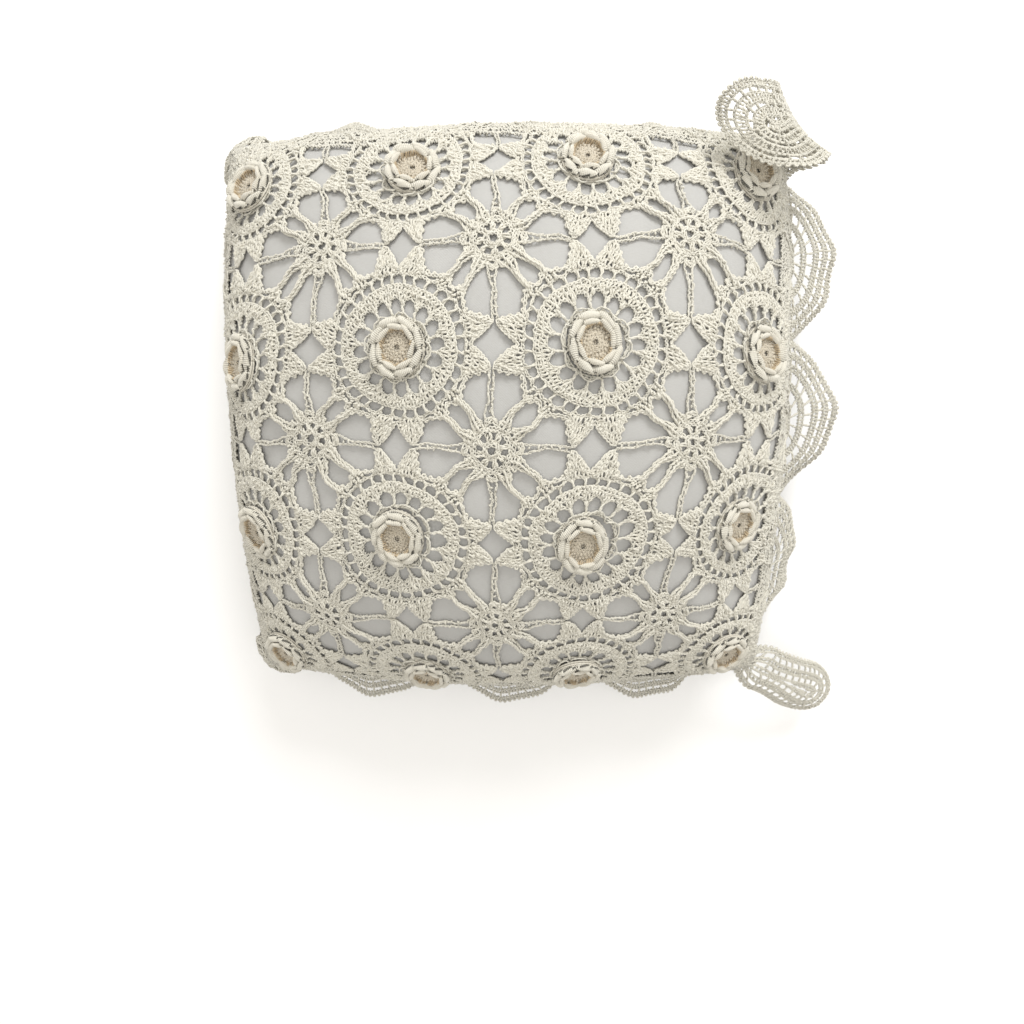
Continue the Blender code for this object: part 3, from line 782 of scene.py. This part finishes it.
def lay_on_corner(corner):
    """Map of a corner's lobe: flat x is across its middle line and y along it from the corner."""
    turns = {"top_right": 0, "top_left": 1, "bottom_left": 2, "bottom_right": 3}[corner]
    points, lean = LOBE_LINES[corner]
    points = np.array(points, float)
    length = length_along(points)
    line = sampled(points, np.linspace(0, length[-1], 200), length)
    smooth(line, 90)
    length = length_along(line)
    angle = math.radians(45 + lean)
    ahead = np.array([math.cos(angle), math.sin(angle), 0])
    aside = np.array([-math.sin(angle), math.cos(angle), 0])
    upward = np.array([0, 0, 1.0])
    corner_point = seam(np.array(LACE_HALF))[0]
    middle = corner_point + line[:, :1] * ahead + line[:, 1:2] * aside + line[:, 2:] * upward
    through = unit(np.cross(unit(np.gradient(middle, axis=0)), aside))
    stretch = length[-1] / LOBE_LONG

    def lay(flat):
        x, y, height = flat[..., 0], flat[..., 1], flat[..., 2]
        at = np.clip(y, 0, LOBE_LONG) * stretch
        place = sampled(middle, at, length)
        up = unit(sampled(through, at, length))
        roll = LOBE_ROLL[corner]
        bent = np.clip(x / roll, -1.6, 1.6)
        lift = height - LACE_HEIGHT
        sag = -(1 - np.cos(bent)) * roll + 0.9 * np.sin(y / 4.3) * np.clip(np.abs(x) / 20, 0, 1)
        place = place - aside * (np.sin(bent) * (roll + lift))[..., None]
        place = place + up * (sag + lift * np.cos(bent))[..., None]
        outer = up * np.cos(bent)[..., None] - aside * np.sin(bent)[..., None]
        # Near the seam the lobe spreads along both sides of the corner
        base = np.where((x > 0)[..., None], seam(LACE_HALF - np.clip(x, 0, LOBE_FOOT))[0],
                        turned(seam(-LACE_HALF + np.clip(-x, 0, LOBE_FOOT))[0], 1))
        share = smooth_step(np.clip(1 - y / LOBE_NECK, 0, 1))[..., None]
        place = place * (1 - share) + (base + upward * lift[..., None]) * share
        return turned(above_floor(place), turns) / 1000, turned(outer, turns)

    return lay


def lobe_stitches(s, rows, slim):
    """One lobe, in the flat plane that lay_on_corner takes."""
    side = np.array(LOBE_SIDE) * (slim, 1)
    end = LOBE_ROUND * slim
    arc = polar(end, np.linspace(np.pi, 0, 60)) + np.array([0, LOBE_LONG - end])
    outline = np.concatenate([side, arc[1:-1], (side * [-1, 1])[::-1]])
    edge = even(outline, 0.35)
    smooth(edge, 20)
    ahead = unit(np.gradient(edge, axis=0))
    inward = np.stack([ahead[:, 1], -ahead[:, 0]], -1)
    # Rows from both sides stop where they meet at the middle, the seam or the round end's centre
    far, tiny = 60, 1e-3
    slope = np.where(np.abs(inward[:, 0]) < tiny, tiny, inward[:, 0])
    to_middle = np.where(edge[:, 0] * inward[:, 0] < 0, -edge[:, 0] / slope, far)
    to_seam = np.where(inward[:, 1] < -tiny, -edge[:, 1] / np.minimum(inward[:, 1], -tiny), far)
    past_top = np.where(edge[:, 1] > LOBE_LONG - end, end, far)
    deepest = np.minimum(np.minimum(np.abs(to_middle), to_seam), past_top) - 0.6
    edging_stitches(s, edge, inward, deepest, rows)


# ---- Materials ----
# Warm tan of painted shade, for the shade inside the roses' cups
PAINTED_SHADE_TAN = (0.47, 0.37, 0.235)
PLIES = 3    # yarns twisted into one thread
PLY_LENGTH = 0.55    # of one turn of the twist
YARN_PITCH = 0.62    # of the casing's weave, over two yarns
THREAD_RELIEF, WEAVE_RELIEF = 0.00008, 0.00016    # metres
THREAD_TONE_SCALE = 260    # to the metre
SLUB_SCALE, SLUB_STRETCH = 0.9, (0.5, 4, 1)    # to the millimetre


def node_material(name, slot_colour, roughness, sheen):
    made = bpy.data.materials.new(name)
    made.use_nodes = True
    nodes, links = made.node_tree.nodes, made.node_tree.links
    shader = nodes["Principled BSDF"]
    shader.inputs["Base Color"].default_value = (*slot_colour, 1)
    shader.inputs["Roughness"].default_value = roughness
    shader.inputs["Sheen Weight"].default_value = sheen
    shader.inputs["Sheen Roughness"].default_value = 0.5
    shader.inputs["Specular IOR Level"].default_value = 0.25
    return made, nodes, links, shader


def math_node(nodes, links, operation, first, second=None):
    """A Math node's output; first is a socket, and second is a socket or a number."""
    made = nodes.new("ShaderNodeMath")
    made.operation = operation
    links.new(first, made.inputs[0])
    if isinstance(second, float):
        made.inputs[1].default_value = second
    elif second is not None:
        links.new(second, made.inputs[1])
    return made.outputs[0]


def split_uv(nodes, links, layer):
    """A UV layer's output, and its X and Y."""
    uv = nodes.new("ShaderNodeUVMap")
    uv.uv_map = layer
    split = nodes.new("ShaderNodeSeparateXYZ")
    links.new(uv.outputs["UV"], split.inputs["Vector"])
    return uv.outputs["UV"], split.outputs["X"], split.outputs["Y"]


def add_bump(nodes, links, height, strength, distance, shader):
    bump = nodes.new("ShaderNodeBump")
    bump.inputs["Strength"].default_value = strength
    bump.inputs["Distance"].default_value = distance
    links.new(height, bump.inputs["Height"])
    links.new(bump.outputs["Normal"], shader.inputs["Normal"])


def mixed_colour(nodes, links, factor, low, high):
    """Colour from low, a colour or a socket, to the colour high as the factor goes from 0 to 1."""
    mix = nodes.new("ShaderNodeMix")
    mix.data_type = "RGBA"
    links.new(factor, mix.inputs["Factor"])
    if isinstance(low, tuple):
        mix.inputs["A"].default_value = (*low, 1)
    else:
        links.new(low, mix.inputs["A"])
    mix.inputs["B"].default_value = (*high, 1)
    return mix.outputs["Result"]


def thread_material(name, light, dark):
    """Cotton thread: three plies twisted round each other, a slow drift of tone, and a warm tan of
    painted shade where the mesh asks for it.
    """
    made, nodes, links, shader = node_material(name, light, 0.75, 0.25)
    place = nodes.new("ShaderNodeTexCoord")
    tone = nodes.new("ShaderNodeTexNoise")
    tone.inputs["Scale"].default_value = THREAD_TONE_SCALE
    tone.inputs["Detail"].default_value = 3
    links.new(place.outputs["Object"], tone.inputs["Vector"])
    # Painted shade: each point's shade amount mixes in the warm tan
    shade_attribute = nodes.new("ShaderNodeAttribute")
    shade_attribute.attribute_name = "painted_shade"
    cotton = mixed_colour(nodes, links, tone.outputs["Fac"], dark, light)
    cotton = mixed_colour(nodes, links, shade_attribute.outputs["Fac"], cotton, PAINTED_SHADE_TAN)
    links.new(cotton, shader.inputs["Base Color"])
    _, around, along = split_uv(nodes, links, "thread")
    turned_by = math_node(nodes, links, "MULTIPLY", around, PLIES * 2 * math.pi)
    wound_by = math_node(nodes, links, "MULTIPLY", along, 2 * math.pi / PLY_LENGTH)
    phase = math_node(nodes, links, "ADD", turned_by, wound_by)
    add_bump(nodes, links, math_node(nodes, links, "SINE", phase), 0.5, THREAD_RELIEF, shader)
    return made


def woven_material(name, light, dark):
    """Plain-woven cotton: crossed yarns, slubs and a faint unevenness of tone."""
    made, nodes, links, shader = node_material(name, light, 0.85, 0.15)
    uv, across, along = split_uv(nodes, links, "weave")
    yarns = []
    for axis in (across, along):
        scaled = math_node(nodes, links, "MULTIPLY", axis, 2 * math.pi / YARN_PITCH)
        yarns.append(math_node(nodes, links, "SINE", scaled))
    crossed = math_node(nodes, links, "MULTIPLY", *yarns)
    slub = nodes.new("ShaderNodeTexNoise")
    slub.inputs["Scale"].default_value = SLUB_SCALE
    slub.inputs["Detail"].default_value = 4
    stretched = nodes.new("ShaderNodeMapping")
    stretched.inputs["Scale"].default_value = SLUB_STRETCH
    links.new(uv, stretched.inputs["Vector"])
    links.new(stretched.outputs["Vector"], slub.inputs["Vector"])
    links.new(mixed_colour(nodes, links, slub.outputs["Fac"], dark, light), shader.inputs["Base Color"])
    height = math_node(nodes, links, "ADD", crossed, slub.outputs["Fac"])
    add_bump(nodes, links, height, 0.6, WEAVE_RELIEF, shader)
    return made


LACE_COTTON = thread_material("lace_cotton", (0.70, 0.68, 0.605), (0.63, 0.60, 0.51))
ROSE_COTTON = thread_material("rose_cotton", (0.68, 0.655, 0.58), (0.60, 0.57, 0.485))
CASING_COTTON = woven_material("casing_cotton", (0.53, 0.53, 0.52), (0.44, 0.43, 0.405))


# ---- Pieces ----
def show(name, mesh, material, slot, *nodes):
    """Puts a piece in the scene in place of the CAD nodes named."""
    made = bpy.data.objects.new(name, mesh)
    bpy.context.scene.collection.objects.link(made)
    mesh.materials.append(material)
    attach(made, "root")
    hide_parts(*nodes)
    return made


def add_casing():
    """Both panels as one closed body; front and back share the points of the rim."""
    cells = 150
    flat = LACE_HALF * np.sin(np.linspace(-np.pi / 2, np.pi / 2, cells + 1))
    u, v = np.meshgrid(flat, flat)
    front = cushion(u, v)
    creases = waves(np.stack([u, v], -1), *CREASE_WAVES)[..., 0]
    fade = np.clip(from_seam(u, v) / SEAM_FADE, 0, 1)
    front = front + normal_at(u, v) * (soft(u, v) + creases * fade)[..., None]
    back = cushion(u, v, back=True)
    rim = (np.abs(u) >= LACE_HALF - 1e-6) | (np.abs(v) >= LACE_HALF - 1e-6)
    wide = cells + 1
    index = np.arange(wide * wide).reshape(wide, wide)
    back_index = np.where(rim, index, wide * wide + np.cumsum(~rim.ravel()).reshape(wide, wide) - 1)
    verts = np.concatenate([front.reshape(-1, 3), back[~rim]]) / 1000
    quads = []
    uv = []
    for layer, flip in ((index, False), (back_index, True)):
        corner = [layer[:-1, :-1], layer[:-1, 1:], layer[1:, 1:], layer[1:, :-1]]
        place = [np.stack([g[a:cells + a, b:cells + b] for g in (u, v)], -1)
                 for a, b in ((0, 0), (0, 1), (1, 1), (1, 0))]
        if flip:
            corner, place = corner[::-1], place[::-1]
        quads.append(np.stack(corner, -1).reshape(-1, 4))
        uv.append(np.stack(place, -2).reshape(-1, 2))
    mesh = bpy.data.meshes.new("casing")
    mesh.from_pydata(verts.tolist(), [], np.concatenate(quads).tolist())
    mesh.uv_layers.new(name="weave").data.foreach_set("uv", np.concatenate(uv).ravel())
    mesh.shade_smooth()
    made = show("casing", mesh, CASING_COTTON, "casing_cotton", "casing_front", "casing_back",
                "fibre_filling")


def show_lace(kind, tag, strands, node):
    """Shows one piece of the lace in place of its CAD node."""
    mesh = strands.mesh("lace_" + kind)
    return show(f"lace_{kind}_{tag}", mesh, LACE_COTTON, "crochet_cotton", node)


def add_cover():
    """Motifs with their roses, and the whole stars between them."""
    for row, v in enumerate(ROWS, 1):
        for column, u in enumerate(ROWS, 1):
            seed = 10 * row + column
            s = Strands(lay_on_front, seed)
            motif_stitches(s, (u * PITCH, v * PITCH))
            tag = f"r{row}c{column}"
            made = show_lace("motif", tag, s, "motif_" + tag)
            s = Strands(lay_on_rose(u * PITCH, v * PITCH, seed), seed + 100)
            rose_stitches(s, seed)
            show("lace_rose_" + tag, s.mesh("lace_rose"), ROSE_COTTON, "rose_cotton", "rose_" + tag)
    for row, v in enumerate(STAR_ROWS, 1):
        for column, u in enumerate(STAR_ROWS[::-1], 1):
            s = Strands(lay_on_front, 200 + 10 * row + column)
            star_stitches(s, (u * PITCH, v * PITCH))
            tag = f"r{row}c{column}"
            made = show_lace("star", tag, s, "star_" + tag)


def add_edging():
    """Each side's half stars, border and scallops as one piece, and the lobes at the corners."""
    for turns, side in enumerate(SIDES):
        s = Strands(lay_on_front, 300 + turns, sides=3)
        for offset in STAR_ROWS:
            middle = turned(np.array([LACE_HALF, offset * PITCH, 0]), turns)[:2]
            start, margin = np.pi / 2 * (1 + turns), 0.02
            star_stitches(s, middle, start - margin, start + np.pi + margin)
        header_stitches(s, turns)
        s.lay = lay_on_side(side)
        for offset in STAR_ROWS:
            scallop_stitches(s, offset * PITCH)
        made = show_lace("edging", side, s, "edging_" + side)
    for n, corner in enumerate(LOBE_LINES):
        s = Strands(lay_on_corner(corner), 320 + n, sides=3)
        lobe_stitches(s, FLAP_ROWS if corner == "top_right" else EDGE_ROWS, LOBE_SLIM[corner])
        made = show_lace("lobe", corner, s, "edging_" + corner)


# ---- Floor, light and camera ----
def add_floor():
    half = 3.0    # metres
    corners = [(-half, -half, 0), (half, -half, 0), (half, half, 0), (-half, half, 0)]
    mesh = bpy.data.meshes.new("floor")
    mesh.from_pydata(corners, [], [(0, 1, 2, 3)])
    floor = bpy.data.objects.new("floor", mesh)
    bpy.context.scene.collection.objects.link(floor)
    mesh.materials.append(node_material("floor_white", (0.93, 0.93, 0.93), 0.9, 0.0)[0])


def add_area_light(name, place, aim, size, watts, colour):
    """A square light; place, aim and size are metres."""
    data = bpy.data.lights.new(name, "AREA")
    data.shape = "RECTANGLE"
    data.size = size
    data.size_y = size
    data.energy = watts
    data.color = colour
    lamp = bpy.data.objects.new(name, data)
    lamp.location = place
    lamp.rotation_euler = (Vector(aim) - Vector(place)).to_track_quat("-Z", "Y").to_euler()
    bpy.context.scene.collection.objects.link(lamp)


def add_light():
    middle = (0, 0, 0.05)
    add_area_light("window", (0.45, 1.3, 0.9), middle, 0.6, 19.5, (0.98, 0.99, 1.0))
    add_area_light("ceiling", (0.1, 0.1, 1.9), middle, 1.6, 11, (0.98, 0.985, 1.0))
    world = bpy.data.worlds.new("studio")
    world.use_nodes = True
    world.node_tree.nodes["Background"].inputs["Color"].default_value = (1.0, 0.965, 0.90, 1)
    world.node_tree.nodes["Background"].inputs["Strength"].default_value = 0.80
    bpy.context.scene.world = world


def add_camera():
    """Looks down on the pillow from a little past its middle, as a hand-held phone does."""
    data = bpy.data.cameras.new("camera")
    data.sensor_fit = "HORIZONTAL"
    data.sensor_width = 36.0
    data.lens = 25.8
    data.clip_start = 0.01
    camera = bpy.data.objects.new("camera", data)
    forward = Vector((-0.0347, -0.1903, -0.9811)).normalized()
    up = Vector((0.0003, 0.9817, -0.1904))
    right = forward.cross(up).normalized()
    up = right.cross(forward)
    pose = Matrix((right, up, -forward)).transposed().to_4x4()
    pose.translation = (0.0155, 0.025, 0.359 + SEAM_Z / 1000)    # metres
    camera.matrix_world = pose
    bpy.context.scene.collection.objects.link(camera)
    bpy.context.scene.camera = camera


add_casing()
add_cover()
add_edging()
add_floor()
add_light()
add_camera()
bpy.context.scene.view_settings.view_transform = "Standard"
